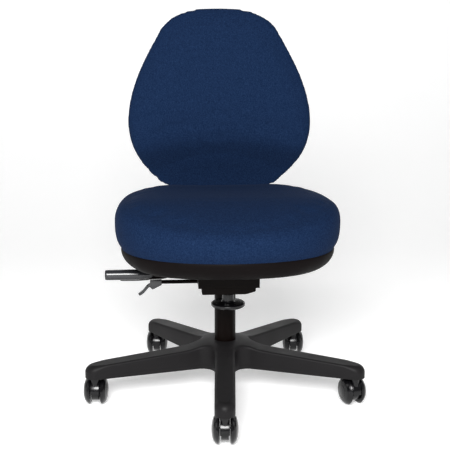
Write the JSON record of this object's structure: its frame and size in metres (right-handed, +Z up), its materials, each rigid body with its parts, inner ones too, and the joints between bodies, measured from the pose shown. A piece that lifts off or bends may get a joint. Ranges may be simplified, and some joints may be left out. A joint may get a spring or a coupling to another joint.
{
  "type": "swivel office chair",
  "caption": "Armless task chair with a padded fabric seat and back, gas lift, lever-controlled tilt and recline, and a star base on twin-wheel castors.",
  "frame": {"origin": "middle of the chair's footprint, on the floor", "axes": "+Z up, the sitter faces -Y, +X is the sitter's left"},
  "size_m": [0.6514, 0.6488, 0.912],
  "materials": {
    "nylon": "satin moulded",
    "shell_plastic": "fine grained moulded",
    "gloss_plastic": "polished moulded",
    "black_steel": "black powder coat",
    "plain_steel": "zinc plated",
    "bright_steel": "ground and polished",
    "acetal": "natural moulded",
    "plywood": "raw moulded plywood",
    "fabric": "woven navy upholstery"
  },
  "bodies": {
    "base": {"base_star": "nylon", "column_tube": "black_steel", "column_bush": "acetal", "thrust_bearing": "bright_steel"},
    "castor_1": {"castor_body_1": "gloss_plastic", "castor_stem_1": "plain_steel", "castor_axle_1": "bright_steel"},
    "wheel_left_1": {"castor_wheel_left_1": "gloss_plastic"},
    "wheel_right_1": {"castor_wheel_right_1": "gloss_plastic"},
    "castor_2": {"castor_body_2": "gloss_plastic", "castor_stem_2": "plain_steel", "castor_axle_2": "bright_steel"},
    "wheel_left_2": {"castor_wheel_left_2": "gloss_plastic"},
    "wheel_right_2": {"castor_wheel_right_2": "gloss_plastic"},
    "castor_3": {"castor_body_3": "gloss_plastic", "castor_stem_3": "plain_steel", "castor_axle_3": "bright_steel"},
    "wheel_left_3": {"castor_wheel_left_3": "gloss_plastic"},
    "wheel_right_3": {"castor_wheel_right_3": "gloss_plastic"},
    "castor_4": {"castor_body_4": "gloss_plastic", "castor_stem_4": "plain_steel", "castor_axle_4": "bright_steel"},
    "wheel_left_4": {"castor_wheel_left_4": "gloss_plastic"},
    "wheel_right_4": {"castor_wheel_right_4": "gloss_plastic"},
    "castor_5": {"castor_body_5": "gloss_plastic", "castor_stem_5": "plain_steel", "castor_axle_5": "bright_steel"},
    "wheel_left_5": {"castor_wheel_left_5": "gloss_plastic"},
    "wheel_right_5": {"castor_wheel_right_5": "gloss_plastic"},
    "piston": {"piston_rod": "bright_steel", "rod_clip": "plain_steel"},
    "mechanism": {"gas_cylinder": "bright_steel", "mechanism_housing": "black_steel", "tilt_pin": "plain_steel", "recline_pin": "plain_steel", "lever_shaft": "plain_steel", "tension_spring": "plain_steel", "spring_plate": "plain_steel"},
    "valve": {"valve_pin": "plain_steel"},
    "tension": {"tension_knob": "gloss_plastic", "tension_screw": "plain_steel"},
    "height_control": {"height_lever": "plain_steel", "height_lever_grip": "gloss_plastic"},
    "back_control": {"back_lever": "plain_steel", "back_lever_grip": "gloss_plastic"},
    "tilt_control": {"tilt_lever": "plain_steel", "tilt_lever_blade": "gloss_plastic"},
    "seat": {"seat_plate": "black_steel", "seat_pan": "shell_plastic", "seat_board": "plywood", "seat_cushion": "fabric", "seat_bolt_1": "plain_steel", "seat_bolt_2": "plain_steel", "seat_bolt_3": "plain_steel", "seat_bolt_4": "plain_steel"},
    "back_arm": {"back_bar": "black_steel"},
    "backrest": {"back_height_sleeve": "nylon", "back_board": "plywood", "back_shell": "shell_plastic", "back_cushion": "fabric"}
  },
  "joints": [
    {"name": "castor_swivel_1", "type": "hinge", "parent": "base", "child": "castor_1", "pos_m": [-0.01486, -0.30266, 0.068], "axis": [0, 0, 1], "continuous": true},
    {"name": "wheel_roll_left_1", "type": "hinge", "parent": "castor_1", "child": "wheel_left_1", "pos_m": [-0.01388, -0.2887, 0.0325], "axis": [0.9976, -0.0698, 0], "continuous": true},
    {"name": "wheel_roll_right_1", "type": "hinge", "parent": "castor_1", "child": "wheel_right_1", "pos_m": [-0.01388, -0.2887, 0.0325], "axis": [0.9976, -0.0698, 0], "continuous": true},
    {"name": "castor_swivel_2", "type": "hinge", "parent": "base", "child": "castor_2", "pos_m": [0.29818, -0.10705, 0.068], "axis": [0, 0, 1], "continuous": true},
    {"name": "wheel_roll_left_2", "type": "hinge", "parent": "castor_2", "child": "wheel_left_2", "pos_m": [0.29432, -0.0936, 0.0325], "axis": [0.9613, 0.2756, 0], "continuous": true},
    {"name": "wheel_roll_right_2", "type": "hinge", "parent": "castor_2", "child": "wheel_right_2", "pos_m": [0.29432, -0.0936, 0.0325], "axis": [0.9613, 0.2756, 0], "continuous": true},
    {"name": "castor_swivel_3", "type": "hinge", "parent": "base", "child": "castor_3", "pos_m": [0.20888, 0.25111, 0.068], "axis": [0, 0, 1], "continuous": true},
    {"name": "wheel_roll_left_3", "type": "hinge", "parent": "castor_3", "child": "wheel_left_3", "pos_m": [0.20986, 0.26508, 0.0325], "axis": [0.9976, -0.0698, 0], "continuous": true},
    {"name": "wheel_roll_right_3", "type": "hinge", "parent": "castor_3", "child": "wheel_right_3", "pos_m": [0.20986, 0.26508, 0.0325], "axis": [0.9976, -0.0698, 0], "continuous": true},
    {"name": "castor_swivel_4", "type": "hinge", "parent": "base", "child": "castor_4", "pos_m": [-0.15935, 0.27686, 0.068], "axis": [0, 0, 1], "continuous": true},
    {"name": "wheel_roll_left_4", "type": "hinge", "parent": "castor_4", "child": "wheel_left_4", "pos_m": [-0.15837, 0.29082, 0.0325], "axis": [0.9976, -0.0698, 0], "continuous": true},
    {"name": "wheel_roll_right_4", "type": "hinge", "parent": "castor_4", "child": "wheel_right_4", "pos_m": [-0.15837, 0.29082, 0.0325], "axis": [0.9976, -0.0698, 0], "continuous": true},
    {"name": "castor_swivel_5", "type": "hinge", "parent": "base", "child": "castor_5", "pos_m": [-0.29763, -0.06539, 0.068], "axis": [0, 0, 1], "continuous": true},
    {"name": "wheel_roll_left_5", "type": "hinge", "parent": "castor_5", "child": "wheel_left_5", "pos_m": [-0.29665, -0.05143, 0.0325], "axis": [0.9976, -0.0698, 0], "continuous": true},
    {"name": "wheel_roll_right_5", "type": "hinge", "parent": "castor_5", "child": "wheel_right_5", "pos_m": [-0.29665, -0.05143, 0.0325], "axis": [0.9976, -0.0698, 0], "continuous": true},
    {"name": "seat_swivel", "type": "hinge", "parent": "base", "child": "piston", "pos_m": [0.00705, 0.01057, 0.073], "axis": [0, 0, 1], "continuous": true},
    {"name": "height_lift", "type": "slide", "parent": "piston", "child": "mechanism", "axis": [0, 0, 1], "range_m": [0, 0.11]},
    {"name": "valve_press", "type": "slide", "parent": "mechanism", "child": "valve", "axis": [0, 0, -1], "range_m": [0, 0.0032]},
    {"name": "tension_turn", "type": "hinge", "parent": "mechanism", "child": "tension", "pos_m": [0.00705, -0.08943, 0.243], "axis": [0, 0, 1], "continuous": true},
    {"name": "height_lever_lift", "type": "hinge", "parent": "mechanism", "child": "height_control", "pos_m": [-0.03895, 0.01057, 0.282], "axis": [0, 1, 0], "range_deg": [0, 3.75], "stiffness_Nm_per_rad": 12, "springref_deg": -5.73},
    {"name": "back_lever_lift", "type": "hinge", "parent": "mechanism", "child": "back_control", "pos_m": [-0.03895, 0.05057, 0.282], "axis": [0, 1, 0], "range_deg": [0, 6], "stiffness_Nm_per_rad": 12, "springref_deg": -5.73},
    {"name": "tilt_lever_twist", "type": "hinge", "parent": "mechanism", "child": "tilt_control", "pos_m": [-0.09295, -0.02543, 0.28], "axis": [1, 0, 0], "range_deg": [0, 20], "stiffness_Nm_per_rad": 2, "springref_deg": -5.73},
    {"name": "seat_tilt", "type": "hinge", "parent": "mechanism", "child": "seat", "pos_m": [0.00705, -0.04943, 0.301], "axis": [1, 0, 0], "range_deg": [-4, 4]},
    {"name": "back_recline", "type": "hinge", "parent": "mechanism", "child": "back_arm", "pos_m": [0.00705, 0.08057, 0.293], "axis": [-1, 0, 0], "range_deg": [0, 20], "stiffness_Nm_per_rad": 90, "springref_deg": -17.19},
    {"name": "back_height", "type": "slide", "parent": "back_arm", "child": "backrest", "axis": [0, 0, 1], "range_m": [0, 0.07]}
  ],
  "couplings": [
    {"joint": "valve_press", "follows": "height_lever_lift", "m_per_rad": 0.047}
  ]
}
